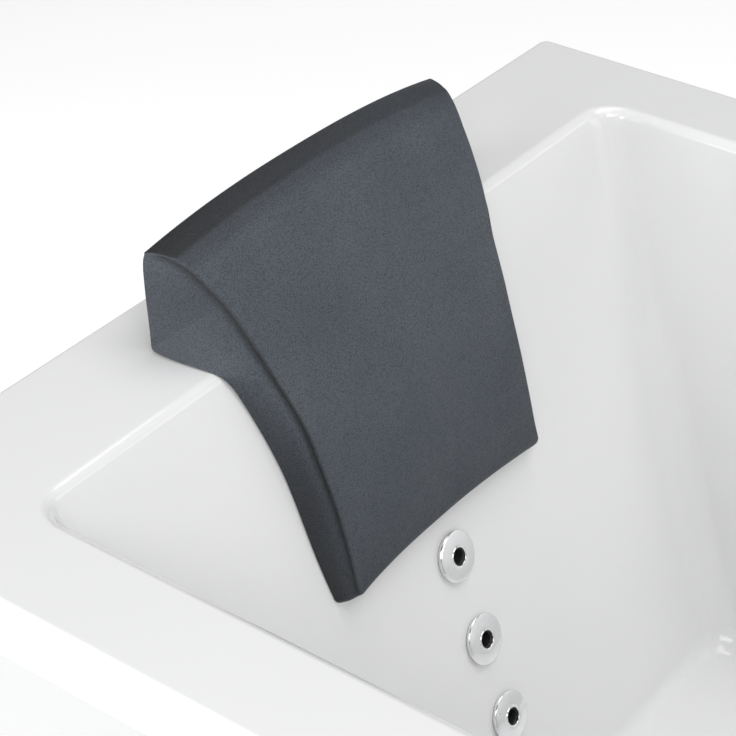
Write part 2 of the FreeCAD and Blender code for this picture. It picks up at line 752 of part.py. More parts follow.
stub(fc, frame_at((0, -30, 0), (0, 1, 0), (1, 0, 0)), 19, 60)
fc.Placement = at(RX, RY, ZB)
fits.append(fc)
water.append(bar("pipe_riser_b", (RX, RY, ZB + 30), (RX, RY, top[2] - R1), pipe_rad, pipe_bore))
for sgn in (1, -1):
    tag = "back" if sgn > 0 else "front"
    water.append(bar("pipe_cross_" + tag, (RX, RY + sgn * 30, ZB), (RX, sgn * (YB - R1), ZB), pipe_rad, pipe_bore))
    fits.append(bend("bend_cross_" + tag, (RX, sgn * YB, ZB), (0, -sgn, 0), (1, 0, 0), R1, 19.0, 13.0))
    water.append(bar("pipe_long_" + tag, (RX + R1, sgn * YB, ZB), (SIDE_X - 30, sgn * YB, ZB), pipe_rad, pipe_bore))
    fits.append(turned("cap_" + tag, [(0, 0), (19, 0), (19, 12), (16, 15), (0, 15)], frame_at((SIDE_X + 30, sgn * YB, ZB), (1, 0, 0), (0, 0, 1))))
# suction run
R2 = 32.0
ss = on_side(SUC_X, SUC_Z, -1, -44)
water.append(bar("suction_run_a", (SUC_X - 46, ss[1], ss[2]), (PX + R2, ss[1], ss[2]), suct_rad, suct_bore))
fits.append(bend("suction_bend_a", (PX, ss[1], ss[2]), (1, 0, 0), (0, 1, 0), R2, 28.0, 21.0))
ydrop = -150.0
drop = ss[2] - PZ
R3 = drop * 0.5
water.append(bar("suction_run_b", (PX, ss[1] + R2, ss[2]), (PX, ydrop - R3, ss[2]), suct_rad, suct_bore))
fits.append(bend("suction_bend_b", (PX, ydrop, ss[2]), (0, -1, 0), (0, 0, -1), R3, 28.0, 21.0))
fits.append(bend("suction_bend_c", (PX, ydrop, PZ), (0, 0, 1), (0, 1, 0), R3, 28.0, 21.0))
water.append(bar("suction_run_c", (PX, ydrop + R3, PZ), (PX, 70, PZ), suct_rad, suct_bore))
group("water_pipes", water)
group("pipe_fittings", fits)

# ---- air pipes --------------------------------------------------------------
air = []
ja = []
for js in JET_S:
    p = off_pt(on_head(js, 0), -AIR_D, n_head)
    ja.append((p[0], p[1] + jet_frames[0].Rotation.multVec(Vector(0, 1, 0)).y * AIR_OFF, p[2]))
AYH = ja[0][1]
RA = 12.0
ta = off_pt(on_head(60.0, 0), -AIR_D, n_head)
ta = (ta[0], AYH, ta[2])
sa = on_side(SIDE_X, SIDE_Z, 1, -AIR_D)
fr4 = jet_frames[3]
upy = fr4.Rotation.multVec(Vector(0, 1, 0))
YA, ZA = sa[1] + upy.y * AIR_OFF, sa[2] + upy.z * AIR_OFF
XA, ZT = ta[0], ta[2]
air.append(bar("air_back_a", add(ta, u_head, 9), add(ja[0], u_head, -12), air_rad, air_bore))
air.append(bar("air_back_b", add(ja[0], u_head, 12), add(ja[1], u_head, -12), air_rad, air_bore))
air.append(bar("air_back_c", add(ja[1], u_head, 12), add(ja[2], u_head, -12), air_rad, air_bore))
air.append(turned("air_cap_back", [(0, 0), (8, 0), (8, 7), (0, 7)], frame_at(add(ja[2], u_head, 12), u_head, (0, 1, 0))))
tee = new_body("air_tee")
s = new_sketch(tee, at(0, 0, -12))
circ(s, 0, 0, 8)
pad(tee, s, 24)
stub(tee, frame_at((0, 0, 0), (1, 0, 0), (0, 1, 0)), 8, 9)
tee.Placement = frame_at(ta, (0, 1, 0), u_head)
air.append(tee)
for sgn in (1, -1):
    tag = "p" if sgn > 0 else "n"
    air.append(bar("air_top_" + tag, (XA, AYH + sgn * 12, ZT), (XA, sgn * (YA - RA), ZT), air_rad, air_bore))
    air.append(bend("air_bend_a_" + tag, (XA, sgn * YA, ZT), (0, -sgn, 0), (0, 0, -1), RA, 7.5, 4.0))
    air.append(bar("air_drop_" + tag, (XA, sgn * YA, ZT - RA), (XA, sgn * YA, ZA + RA), air_rad, air_bore))
    air.append(bend("air_bend_b_" + tag, (XA, sgn * YA, ZA), (0, 0, 1), (1, 0, 0), RA, 7.5, 4.0))
    air.append(bar("air_long_" + tag, (XA + RA, sgn * YA, ZA), (SIDE_X - 12, sgn * YA, ZA), air_rad, air_bore))
air.append(turned("air_cap_front", [(0, 0), (8, 0), (8, 7), (0, 7)], frame_at((SIDE_X + 12, -YA, ZA), (1, 0, 0), (0, 0, 1))))
air.append(bar("air_foot_a", (SIDE_X + 12, YA, ZA), (CTRL_X - RA, YA, ZA), air_rad, air_bore))
air.append(bend("air_foot_bend", (CTRL_X, YA, ZA), (-1, 0, 0), (0, -1, 0), RA, 7.5, 4.0))
air.append(bar("air_foot_b", (CTRL_X, YA - RA, ZA), (CTRL_X, CTRL_Y + RA, ZA), air_rad, air_bore))
air.append(bend("air_foot_bend_b", (CTRL_X, CTRL_Y, ZA), (0, 1, 0), (0, 0, 1), RA, 7.5, 4.0))
air.append(bar("air_foot_c", (CTRL_X, CTRL_Y, ZA + RA), (CTRL_X, CTRL_Y, 575), air_rad, air_bore))
group("air_pipes", air)

# ---- overflow, waste and pop-up plug ---------------------------------------
of_ = frame_at(on_foot(0, OVF_Z), n_foot, (0, 1, 0))
ob = turned("overflow_body", [(9.5, 2.2), (30, 2.2), (30, 0.5), (19.5, 0.5), (19.5, -14), (25, -14), (25, -46), (0, -46), (0, -38), (9.5, -38)], of_)
inv = of_.inverse()
p_low = inv.multVec(Vector(830, 0, 545))
z_dn = inv.Rotation.multVec(Vector(0, 0, -1))
x_dn = inv.Rotation.multVec(Vector(1, 0, 0))
stub(ob, Placement(p_low, Rotation(x_dn, z_dn.cross(x_dn), z_dn, "ZXY")), 20, 40)
single("overflow_body", ob)
single("overflow_plate", turned("overflow_plate", [(9.0, 2.4), (36, 2.4), (37, 3.2), (36, 5.4), (30, 7.0), (9.0, 7.4)], of_))
kb = new_body("overflow_knob")
s = new_sketch(kb, role="XZ_Plane")
poly(s, [(0, -6), (8.94, -6), (8.94, 8.0), (24, 8.0), (25.5, 9.5), (25.0, 17), (22.5, 20), (12, 21.2), (0, 21.4)])
revolve(kb, s)
s = new_sketch(kb, at(0, 0, 19))
rrect(s, -3.5, 3.5, -19, 19, 3)
pad(kb, s, 8)
kb.Placement = of_
single("overflow_knob", kb)
wx = 830.0
w_pipes, w_fit = [], []
w_pipes.append(bar("waste_riser", (wx, 0, 90), (wx, 0, 505), waste_rad, waste_bore))
w_pipes.append(bar("waste_run", (DRAIN_X + 30, 0, 60), (wx - 30, 0, 60), waste_rad, waste_bore))
w_pipes.append(bar("waste_outlet", (wx, 30, 60), (wx, 440, 60), waste_rad, waste_bore))
tee = new_body("waste_tee")
s = new_sketch(tee, at(0, 0, -26))
circ(s, 0, 0, 24)
pad(tee, s, 56)
stub(tee, frame_at((0, 0, 0), (-1, 0, 0), (0, 1, 0)), 24, 30)
stub(tee, frame_at((0, 0, 0), (0, 1, 0), (1, 0, 0)), 24, 30)
tee.Placement = at(wx, 0, 60)
w_fit.append(tee)
sh = new_body("waste_shoe")
s = new_sketch(sh, role="XZ_Plane")
poly(s, [(0, 36), (24, 36), (24, 118), (30, 118), (30, 140.6), (22.4, 140.6), (22.4, 100), (0, 100)])
revolve(sh, s)
stub(sh, frame_at((0, 0, 60), (1, 0, 0), (0, 1, 0)), 24, 30)
sh.Placement = at(DRAIN_X, 0, 0)
w_fit.append(sh)
group("waste_pipes", w_pipes)
group("waste_fittings", w_fit)
dfp = at(DRAIN_X, 0, 150)
single("drain_flange", turned("drain_flange", [(20, 2.0), (33, 2.4), (35.5, 1.4), (36, 0.3), (22.2, 0.3), (22.2, -26), (20, -26)], dfp))
single("drain_plug", turned("drain_plug", [(0, 7.4), (18, 7.0), (26, 5.6), (29, 3.8), (29, 2.9), (19.94, 2.9), (19.94, -20), (17.5, -20), (17.5, 1.5), (0, 1.5)], dfp))

# ---- deck controls ----------------------------------------------------------
avp = at(CTRL_X, CTRL_Y, 640)
single("air_valve_body", turned("air_valve_body", [
    (6.0, 4.2), (24, 4.2), (28, 2.6), (28.5, 0.3), (21.6, 0.3), (21.6, -30), (12, -36), (9, -40), (9, -65), (0, -65), (0, -24), (6.0, -24)], avp))
kb = new_body("air_knob")
s = new_sketch(kb, role="XZ_Plane")
poly(s, [(0, -20), (5.94, -20), (5.94, 4.6), (21, 4.6), (22, 5.6), (21, 17), (18.5, 19.4), (0, 20)])
revolve(kb, s)
s = new_sketch(kb, at(0, 0, 18))
rrect(s, -3, 3, -17, 17, 2.5)
pad(kb, s, 9)
kb.Placement = avp
single("air_knob", kb)
bvp = at(CTRL_X, -CTRL_Y, 640)
single("button_body", turned("button_body", [
    (18.1, 4.0), (24, 4.2), (28, 2.6), (28.5, 0.3), (21.6, 0.3), (21.6, -30), (8, -36), (5, -38), (5, -50), (0, -50), (0, -15), (18.1, -15)], bvp))
single("button_cap", turned("button_cap", [(0, 5.2), (13, 5.6), (17, 5.0), (18.0, 3.6), (18.0, -9), (0, -9)], bvp))
tb = []
TY, TZ, TX = -381.0, 570.0, -835.0
RT = 8.0
tb.append(bar("tube_a", (CTRL_X, -CTRL_Y, 590), (CTRL_X, -CTRL_Y, TZ + RT), 3, 1.8))
tb.append(bend("tube_bend_a", (CTRL_X, -CTRL_Y, TZ), (0, 0, 1), (0, -1, 0), RT, 3.0, 1.8))
tb.append(bar("tube_b", (CTRL_X, -CTRL_Y - RT, TZ), (CTRL_X, TY + RT, TZ), 3, 1.8))
tb.append(bend("tube_bend_b", (CTRL_X, TY, TZ), (0, 1, 0), (-1, 0, 0), RT, 3.0, 1.8))
tb.append(bar("tube_c", (CTRL_X - RT, TY, TZ), (TX + RT, TY, TZ), 3, 1.8))
tb.append(bend("tube_bend_c", (TX, TY, TZ), (1, 0, 0), (0, 1, 0), RT, 3.0, 1.8))
tb.append(bar("tube_d", (TX, TY + RT, TZ), (TX, 270 - RT, TZ), 3, 1.8))
tb.append(bend("tube_bend_d", (TX, 270, TZ), (0, -1, 0), (0, 0, -1), RT, 3.0, 1.8))
tb.append(bar("tube_e", (TX, 270, TZ - RT), (TX, 270, 230), 3, 1.8))
group("button_tube", tb)

# ---- pump -------------------------------------------------------------------
motor_rad = dim("motor_rad", 68)
motor_in = dim("motor_in", 62)
shaft_rad = dim("shaft_rad", 8)
pf = frame_at((PX, 0, PZ), (0, 1, 0), (0, 0, 1))   # local Z runs along +Y
b = new_body("pump_shelf")
s = new_sketch(b, at(0, 0, 90))
rrect(s, -883, -465, 62, 376, 6)
pad(b, s, 3)
single("pump_shelf", b)
b = new_body("pump_bracket")
s = new_sketch(b, frame_at((PX, 205, 93), (0, 1, 0), (1, 0, 0)))
poly(s, [(-70, 0), (70, 0), (70, -5), (46, -5), (46, -44), (-46, -44), (-46, -5), (-70, -5)])
pad(b, s, 120)
doc.recompute()
s = new_sketch(b, frame_at((PX, 200, PZ), (0, 1, 0), (1, 0, 0)))
circ(s, 0, 0, 72.4)
pocket(b, s, 140, rev=True)
single("pump_bracket", b)
b = new_body("motor_housing")
s = new_sketch(b, at(0, 0, 190))
circ(s, 0, 0, motor_rad)
circ(s, 0, 0, motor_in)
pad(b, s, 150)
doc.recompute()
s = new_sketch(b, at(0, 0, 196))
rrect(s, 66, 72, -1.5, 1.5, 0.8)
fin = pad(b, s, 138)
doc.recompute()
pp = b.newObject("PartDesign::PolarPattern", "motor_fins")
pp.Originals = [fin]
pp.Axis = (plane_of(b, "Z_Axis"), [""])
pp.Angle = 360
pp.Occurrences = 28
b.Tip = pp
b.Placement = pf
single("motor_housing", b)
group("motor_end_caps", [turned("end_cap_a", [(16, 180), (68, 180), (68, 190), (16, 190)], pf),
                         turned("end_cap_b", [(16, 340), (68, 340), (68, 350), (16, 350)], pf)])
single("stator", turned("stator", [(40.2, 215), (61.9, 215), (61.9, 315), (40.2, 315)], pf))
group("bearings", [turned("bearing_a", [(8.05, 180), (16, 180), (16, 190), (8.05, 190)], pf),
                   turned("bearing_b", [(8.05, 340), (16, 340), (16, 350), (8.05, 350)], pf)])
single("pump_shaft", turned("pump_shaft", [(0, 112), (shaft_rad, 112), (shaft_rad, 215), (39.4, 215), (39.4, 315), (shaft_rad, 315), (shaft_rad, 374), (0, 374)], pf))
vo = turned("volute", [(22, 70), (30, 70), (30, 92), (75, 92), (78, 98), (78, 174), (74, 180), (20, 180), (20, 172), (66, 172), (66, 104), (22, 104)], pf)
stub(vo, frame_at((67, 30 * (1 if pf.Rotation.multVec(Vector(0, 1, 0)).x < 0 else -1), 130), (1, 0, 0), (0, 1, 0)), 19, ZB - 30 - PZ - 67)
single("volute", vo)
im = new_body("impeller")
s = new_sketch(im, role="XZ_Plane")
poly(s, [(8.0, 112), (16, 112), (20, 150), (58, 156), (58, 160), (8.0, 160)])
revolve(im, s)
doc.recompute()
s = new_sketch(im, at(0, 0, 126))
rrect(s, 16, 56, -2, 2, 1.5)
vane = pad(im, s, 31)
doc.recompute()
pp = im.newObject("PartDesign::PolarPattern", "impeller_vanes")
pp.Originals = [vane]
pp.Axis = (plane_of(im, "Z_Axis"), [""])
pp.Angle = 360
pp.Occurrences = 6
im.Tip = pp
im.Placement = pf
single("impeller", im)
fa = new_body("cooling_fan")
s = new_sketch(fa, role="XZ_Plane")
poly(s, [(8.0, 354), (16, 354), (16, 372), (8.0, 372)])
revolve(fa, s)
doc.recompute()
s = new_sketch(fa, at(0, 0, 356))
rrect(s, 14, 56, -1.5, 1.5, 1.2)
vane = pad(fa, s, 14)
doc.recompute()
pp = fa.newObject("PartDesign::PolarPattern", "fan_blades")
pp.Originals = [vane]
pp.Axis = (plane_of(fa, "Z_Axis"), [""])
pp.Angle = 360
pp.Occurrences = 8
fa.Tip = pp
fa.Placement = pf
single("cooling_fan", fa)
fcv = new_body("fan_cover")
s = new_sketch(fcv, role="XZ_Plane")
poly(s, [(0, 379), (60, 379), (68.1, 374), (68.1, 341), (70, 341), (70, 376), (62, 381), (0, 381)])
revolve(fcv, s)
doc.recompute()
for rr, cnt, hr in ((20, 8, 4), (34, 14, 4.2), (49, 20, 4.2)):
    s = new_sketch(fcv, at(0, 0, 386))
    for q in range(cnt):
        a = 2 * math.pi * q / cnt
        circ(s, rr * math.cos(a), rr * math.sin(a), hr)
    pocket(fcv, s, 9)
fcv.Placement = pf
single("fan_cover", fcv)
b = new_body("terminal_box")
s = new_sketch(b, at(-858, 225, 150))
rrect(s, 0, 45.8, 0, 90, 5)
pad(b, s, 80)
doc.recompute()
single("terminal_box", b)
single("cable_gland", turned("cable_gland", [(3.5, 0), (11, 0), (11, 6), (8.5, 7), (8.5, 15), (10, 15), (10, 22), (7, 26), (3.5, 26)],
                             frame_at((-835, 315, 185), (0, 1, 0), (0, 0, 1))))

# ---- pillow -----------------------------------------------------------------
pillow_half = dim("pillow_half", 178.5)
b = new_body("pillow")
s = new_sketch(b, frame_at((-900, -178.5, 640), (0, -1, 0), (1, 0, 0)))
s.setExpression("AttachmentOffset.Base.y", (-pillow_half).e)
poly(s, [(56.5, 0.6), (110.5, 0.6), (115.4, -0.9), (118.7, -4.7), (199.8, -203), (211.6, -197.6), (211.9, -190), (208.4, -176), (203.2, -154),
         (197, -132), (190.2, -110), (182.8, -88.5), (176, -69.5), (168.3, -49), (159, -30), (150.4, -14), (138.8, 10), (128, 30.5), (114.5, 51.5), (104.5, 65),
         (97.5, 74), (90, 83.5), (80.6, 92.3), (72, 97.3), (64, 98.8), (58.5, 98.8), (56.5, 96.5)])
pad(b, s, pillow_half * 2, rev=True)
doc.recompute()
for sy in (-1, 1):
    s = new_sketch(b, frame_at((-620, 0, 640), (1, 0, 0), (0, 1, 0)))
    poly(s, [(178.6 * sy, 84), (173 * sy, 60), (164 * sy, 20), (153.5 * sy, -16), (144 * sy, -57), (137.6 * sy, -113), (134.8 * sy, -204), (134.8 * sy, -230), (200 * sy, -230), (200 * sy, 84)])
    pocket(b, s, 300)
single("pillow", b)
studs = []
for y in (-STUD_Y, STUD_Y):
    studs.append(bar("pillow_stud_%s" % ("a" if y < 0 else "b"), on_head(STUD_S, y, 0.5), on_head(STUD_S, y, -15), 4.0))
group("pillow_studs", studs)

# ---- checks and export --------------------------------------------------------
doc.recompute()
bad = []
for o_ in doc.Objects:
    st = [x for x in o_.State if x in ("Invalid", "Error")]
    if st:
        bad.append((o_.Name, st))
if bad:
    raise RuntimeError("objects in error: %r" % bad[:20])
for name, obj in nodes.items():
    sh_ = obj.Shape
    if sh_.isNull() or not sh_.isValid() or len(sh_.Solids) < 1:
        raise RuntimeError("bad shape: " + name)
    for so in sh_.Solids:
        if so.Volume < 1.0:
            raise RuntimeError("empty solid: " + name)
print("nodes", len(nodes))
for name, obj in nodes.items():
    obj.Shape.exportStep("parts/%s.step" % name)
    bb = obj.Shape.BoundBox
    print("%-20s solids %2d vol %10.1f cm3  X %.1f..%.1f Y %.1f..%.1f Z %.1f..%.1f" % (
        name, len(obj.Shape.Solids), obj.Shape.Volume / 1000, bb.XMin, bb.XMax, bb.YMin, bb.YMax, bb.ZMin, bb.ZMax))
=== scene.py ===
import bpy, bmesh, math, json
import numpy as np
from mathutils import Vector, Matrix


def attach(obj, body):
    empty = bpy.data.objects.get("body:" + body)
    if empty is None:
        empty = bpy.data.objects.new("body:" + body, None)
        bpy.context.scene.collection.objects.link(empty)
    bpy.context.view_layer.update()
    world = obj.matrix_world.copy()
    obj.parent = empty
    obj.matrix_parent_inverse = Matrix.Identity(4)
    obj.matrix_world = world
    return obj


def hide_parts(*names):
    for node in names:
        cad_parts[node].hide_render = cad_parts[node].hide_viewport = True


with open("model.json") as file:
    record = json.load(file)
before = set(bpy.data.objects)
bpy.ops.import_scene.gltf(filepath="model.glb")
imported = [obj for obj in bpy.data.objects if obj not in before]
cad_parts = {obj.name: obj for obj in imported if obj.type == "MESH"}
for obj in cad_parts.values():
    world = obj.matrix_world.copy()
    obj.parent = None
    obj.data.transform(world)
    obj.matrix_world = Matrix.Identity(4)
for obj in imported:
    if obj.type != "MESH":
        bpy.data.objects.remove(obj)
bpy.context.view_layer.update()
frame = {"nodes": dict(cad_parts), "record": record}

# ------------------------------------------------------------------ constants
H = 0.640
TH = math.atan(0.410130)
N_HEAD = Vector((math.cos(TH), 0, math.sin(TH)))
U_HEAD = Vector((math.sin(TH), 0, -math.cos(TH)))
nodes = frame["nodes"]

# ------------------------------------------------------------------ materials
def srgb(r, g, b):
    def f(c):
        c /= 255.0
        return c / 12.92 if c <= 0.04045 else ((c + 0.055) / 1.055) ** 2.4
    return (f(r), f(g), f(b), 1.0)


class Mat:
    """Small helper round a Principled material."""

    def __init__(self, name):
        self.m = bpy.data.materials.new(name)
        self.m.use_nodes = True
        self.nt = self.m.node_tree
        self.bsdf = self.nt.nodes["Principled BSDF"]
        self.co = self.nt.nodes.new("ShaderNodeTexCoord")

    def node(self, kind, **kw):
        n = self.nt.nodes.new(kind)
        for k, v in kw.items():
            setattr(n, k, v)
        return n

    def link(self, a, b):
        self.nt.links.new(a, b)

    def noise(self, scale, detail=4.0, rough=0.55, dist=0.0):
        n = self.node("ShaderNodeTexNoise")
        n.inputs["Scale"].default_value = scale
        n.inputs["Detail"].default_value = detail
        n.inputs["Roughness"].default_value = rough
        n.inputs["Distortion"].default_value = dist
        self.link(self.co.outputs["Object"], n.inputs["Vector"])
        return n.outputs["Fac"]

    def voronoi(self, scale, feature="F1", rand=1.0):
        n = self.node("ShaderNodeTexVoronoi")
        n.feature = feature
        n.inputs["Scale"].default_value = scale
        n.inputs["Randomness"].default_value = rand
        self.link(self.co.outputs["Object"], n.inputs["Vector"])
        return n.outputs["Distance"]

    def ramp(self, src, stops, interp="LINEAR"):
        n = self.node("ShaderNodeValToRGB")
        e = n.color_ramp.elements
        n.color_ramp.interpolation = interp
        while len(e) > 1:
            e.remove(e[-1])
        e[0].position = stops[0][0]
        e[0].color = stops[0][1]
        for p, c in stops[1:]:
            x = e.new(p)
            x.color = c
        self.link(src, n.inputs["Fac"])
        return n.outputs["Color"]

    def math(self, op, a, b):
        n = self.node("ShaderNodeMath", operation=op)
        for i, x in enumerate((a, b)):
            if isinstance(x, (int, float)):
                n.inputs[i].default_value = x
            else:
                self.link(x, n.inputs[i])
        return n.outputs[0]

    def maprange(self, src, lo, hi, a=0.0, b=1.0):
        n = self.node("ShaderNodeMapRange")
        n.inputs["From Min"].default_value = a
        n.inputs["From Max"].default_value = b
        n.inputs["To Min"].default_value = lo
        n.inputs["To Max"].default_value = hi
        self.link(src, n.inputs["Value"])
        return n.outputs["Result"]

    def color(self, src):
        self.link(src, self.bsdf.inputs["Base Color"])

    def rough(self, src):
        self.link(src, self.bsdf.inputs["Roughness"])

    def bump(self, src, strength, dist, prev=None):
        n = self.node("ShaderNodeBump")
        n.inputs["Strength"].default_value = strength
        n.inputs["Distance"].default_value = dist
        self.link(src, n.inputs["Height"])
        if prev is not None:
            self.link(prev, n.inputs["Normal"])
        self.link(n.outputs["Normal"], self.bsdf.inputs["Normal"])
        return n.outputs["Normal"]

    def set(self, **kw):
        for k, v in kw.items():
            self.bsdf.inputs[k.replace("_", " ")].default_value = v
        return self


def g(v):
    return (v, v, v, 1.0)


def mat_acrylic():
    m = Mat("acrylic_gloss")
    c = m.ramp(m.noise(3.0, 3.0), [(0.35, (0.775, 0.777, 0.780, 1)), (0.65, (0.795, 0.796, 0.797, 1))])
    m.color(c)
    m.rough(m.maprange(m.noise(38.0, 5.0), 0.022, 0.045, 0.3, 0.7))
    b = m.bump(m.noise(5.0, 2.0), 0.05, 0.003)
    m.bump(m.noise(900.0, 2.0), 0.012, 0.0002, b)
    m.set(IOR=1.49)
    return m.m


# darker copy of the white acrylic for the apron and end panels: painted shade against the bright floor bounce
def mat_panel_shaded():
    m = Mat("acrylic_panel_shaded")
    c = m.ramp(m.noise(2.2, 3.0), [(0.35, (0.500, 0.503, 0.507, 1)), (0.65, (0.526, 0.528, 0.531, 1))])
    m.color(c)
    m.rough(m.maprange(m.noise(45.0, 5.0), 0.06, 0.11, 0.3, 0.7))
    b = m.bump(m.noise(4.0, 2.0), 0.06, 0.003)
    m.bump(m.noise(700.0, 3.0), 0.02, 0.0002, b)
    m.set(IOR=1.49)
    return m.m


def mat_fibreglass():
    m = Mat("fibreglass_resin")
    a = m.noise(160.0, 6.0, 0.65, 0.8)
    bl = m.voronoi(420.0)
    c = m.ramp(a, [(0.25, (0.46, 0.44, 0.36, 1)), (0.5, (0.60, 0.575, 0.48, 1)), (0.8, (0.70, 0.68, 0.60, 1))])
    m.color(c)
    m.rough(m.maprange(a, 0.35, 0.75, 0.3, 0.7))
    b = m.bump(a, 0.55, 0.0016)
    m.bump(bl, 0.35, 0.0007, b)
    m.set(IOR=1.52, Coat_Weight=0.15, Coat_Roughness=0.3)
    return m.m


def mat_board():
    m = Mat("chipboard")
    v = m.voronoi(330.0)
    a = m.noise(120.0, 5.0, 0.6, 1.2)
    c = m.ramp(a, [(0.3, (0.23, 0.13, 0.062, 1)), (0.5, (0.42, 0.27, 0.14, 1)), (0.72, (0.56, 0.40, 0.235, 1))])
    m.color(c)
    m.set(Roughness=0.78)
    b = m.bump(v, 0.4, 0.0006)
    m.bump(a, 0.3, 0.0008, b)
    return m.m


def mat_galv():
    m = Mat("galvanised_tube")
    v = m.voronoi(55.0)
    nz = m.noise(18.0, 5.0, 0.6, 0.6)
    mixv = m.math("ADD", m.math("MULTIPLY", v, 0.8), m.math("MULTIPLY", nz, 0.6))
    c = m.ramp(mixv, [(0.2, (0.33, 0.345, 0.36, 1)), (0.5, (0.46, 0.475, 0.49, 1)), (0.85, (0.58, 0.59, 0.60, 1))])
    m.color(c)
    m.rough(m.maprange(nz, 0.30, 0.52, 0.3, 0.7))
    m.bump(m.noise(260.0, 4.0), 0.12, 0.0004)
    m.set(Metallic=0.85)
    return m.m


def mat_zinc():
    m = Mat("zinc_plated")
    nz = m.noise(90.0, 5.0)
    c = m.ramp(nz, [(0.3, (0.52, 0.52, 0.50, 1)), (0.7, (0.72, 0.71, 0.68, 1))])
    m.color(c)
    m.rough(m.maprange(nz, 0.22, 0.40, 0.3, 0.7))
    m.bump(m.noise(600.0, 3.0), 0.12, 0.0002)
    m.set(Metallic=1.0)
    return m.m


def mat_chrome():
    m = Mat("chrome_polished")
    nz = m.noise(70.0, 4.0)
    c = m.ramp(nz, [(0.3, (0.90, 0.905, 0.91, 1)), (0.7, (0.945, 0.948, 0.95, 1))])
    m.color(c)
    m.rough(m.maprange(nz, 0.035, 0.075, 0.3, 0.7))
    m.bump(m.noise(45.0, 2.0), 0.03, 0.0006)
    m.set(Metallic=1.0)
    return m.m


def plastic(name, dark, light, r0, r1, scale=120.0, bump=0.12, dist=0.0003, **kw):
    m = Mat(name)
    nz = m.noise(scale, 4.0)
    m.color(m.ramp(nz, [(0.3, dark), (0.7, light)]))
    m.rough(m.maprange(m.noise(scale * 0.35, 4.0), r0, r1, 0.3, 0.7))
    m.bump(m.noise(scale * 9.0, 3.0), bump, dist)
    if kw:
        m.set(**kw)
    return m.m


def mat_leather():
    """Moulded skin of the headrest: fine pebbled grain with soft tone changes, plus painted shade on the top band, the
    lower flanks and front, and in the groove behind the front edge.
    """
    m = Mat("slate_leather_skin")
    big = m.noise(11.0, 5.0, 0.55)
    mid = m.noise(150.0, 4.0, 0.6)
    grain = m.voronoi(920.0, "F1", 1.0)
    fine = m.noise(1250.0, 2.0, 0.6)
    pits = m.ramp(grain, [(0.0, g(1.0)), (0.38, g(0.75)), (0.72, g(0.0))])
    h = m.math("ADD", m.math("MULTIPLY", pits, 0.40), m.math("MULTIPLY", fine, 0.72))
    base = m.ramp(big, [(0.30, (0.0735, 0.0895, 0.1165, 1)), (0.50, (0.0860, 0.1040, 0.1320, 1)), (0.70, (0.1010, 0.1150, 0.1380, 1))])
    mul = m.node("ShaderNodeMix")
    mul.data_type = "RGBA"
    mul.blend_type = "MULTIPLY"
    mul.inputs[0].default_value = 1.0
    m.link(base, mul.inputs[6])
    m.link(m.ramp(h, [(0.28, g(0.27)), (0.48, g(0.52)), (0.64, g(0.76)), (0.84, g(0.97))]), mul.inputs[7])
    # painted shade: darker on the upward-facing top band (more so towards -Y), on the low part of the flanks and
    # towards the lower edge of the front face
    sn = m.node("ShaderNodeSeparateXYZ")
    m.link(m.co.outputs["Normal"], sn.inputs[0])
    sp = m.node("ShaderNodeSeparateXYZ")
    m.link(m.co.outputs["Object"], sp.inputs[0])
    top = m.ramp(sn.outputs[2], [(0.62, g(0.0)), (0.84, g(0.50)), (0.97, g(1.0))], "EASE")
    amount = m.maprange(sp.outputs[1], 0.84, 0.50, -0.17, 0.12)
    up = m.math("SUBTRACT", 1.0, m.math("MULTIPLY", top, amount))
    flank = m.ramp(m.math("ABSOLUTE", sn.outputs[1], 0.0), [(0.55, g(0.0)), (0.85, g(1.0))])
    low = m.maprange(sp.outputs[2], 0.0, 1.0, 0.46, 0.64)
    low_flank_shade = m.ramp(low, [(0.0, g(0.12)), (0.45, g(0.38)), (1.0, g(0.80))])
    front = m.ramp(m.maprange(sp.outputs[2], 0.0, 1.0, 0.43, 0.60), [(0.0, g(0.57)), (0.4, g(0.82)), (1.0, g(1.0))])
    side = m.node("ShaderNodeMix")
    side.data_type = "RGBA"
    m.link(flank, side.inputs[0])
    m.link(front, side.inputs[6])
    m.link(low_flank_shade, side.inputs[7])
    # product of the painted shade ramps above
    tone = m.node("ShaderNodeMix")
    tone.data_type = "RGBA"
    tone.blend_type = "MULTIPLY"
    tone.inputs[0].default_value = 1.0
    m.link(up, tone.inputs[6])
    m.link(side.outputs[2], tone.inputs[7])
    fin = m.node("ShaderNodeMix")
    fin.data_type = "RGBA"
    fin.blend_type = "MULTIPLY"
    fin.inputs[0].default_value = 1.0
    m.link(mul.outputs[2], fin.inputs[6])
    m.link(tone.outputs[2], fin.inputs[7])
    # painted shade in the groove behind the front edge, weighted per vertex
    groove_shade = m.node("ShaderNodeAttribute", attribute_name="groove_shade")
    groove_shade_mix = m.node("ShaderNodeMix")
    groove_shade_mix.data_type = "RGBA"
    groove_shade_mix.blend_type = "MULTIPLY"
    groove_shade_mix.inputs[0].default_value = 1.0
    m.link(fin.outputs[2], groove_shade_mix.inputs[6])
    m.link(m.ramp(groove_shade.outputs["Fac"], [(0.0, g(1.0)), (0.45, g(0.62)), (1.0, g(0.22))]), groove_shade_mix.inputs[7])
    m.color(groove_shade_mix.outputs[2])
    m.rough(m.maprange(mid, 0.46, 0.56, 0.3, 0.7))
    b = m.bump(m.noise(24.0, 3.0), 0.10, 0.002)
    b = m.bump(mid, 0.10, 0.0007, b)
    m.bump(h, 0.80, 0.0007, b)
    m.set(IOR=1.52, Sheen_Weight=0.03, Sheen_Roughness=0.45)
    return m.m


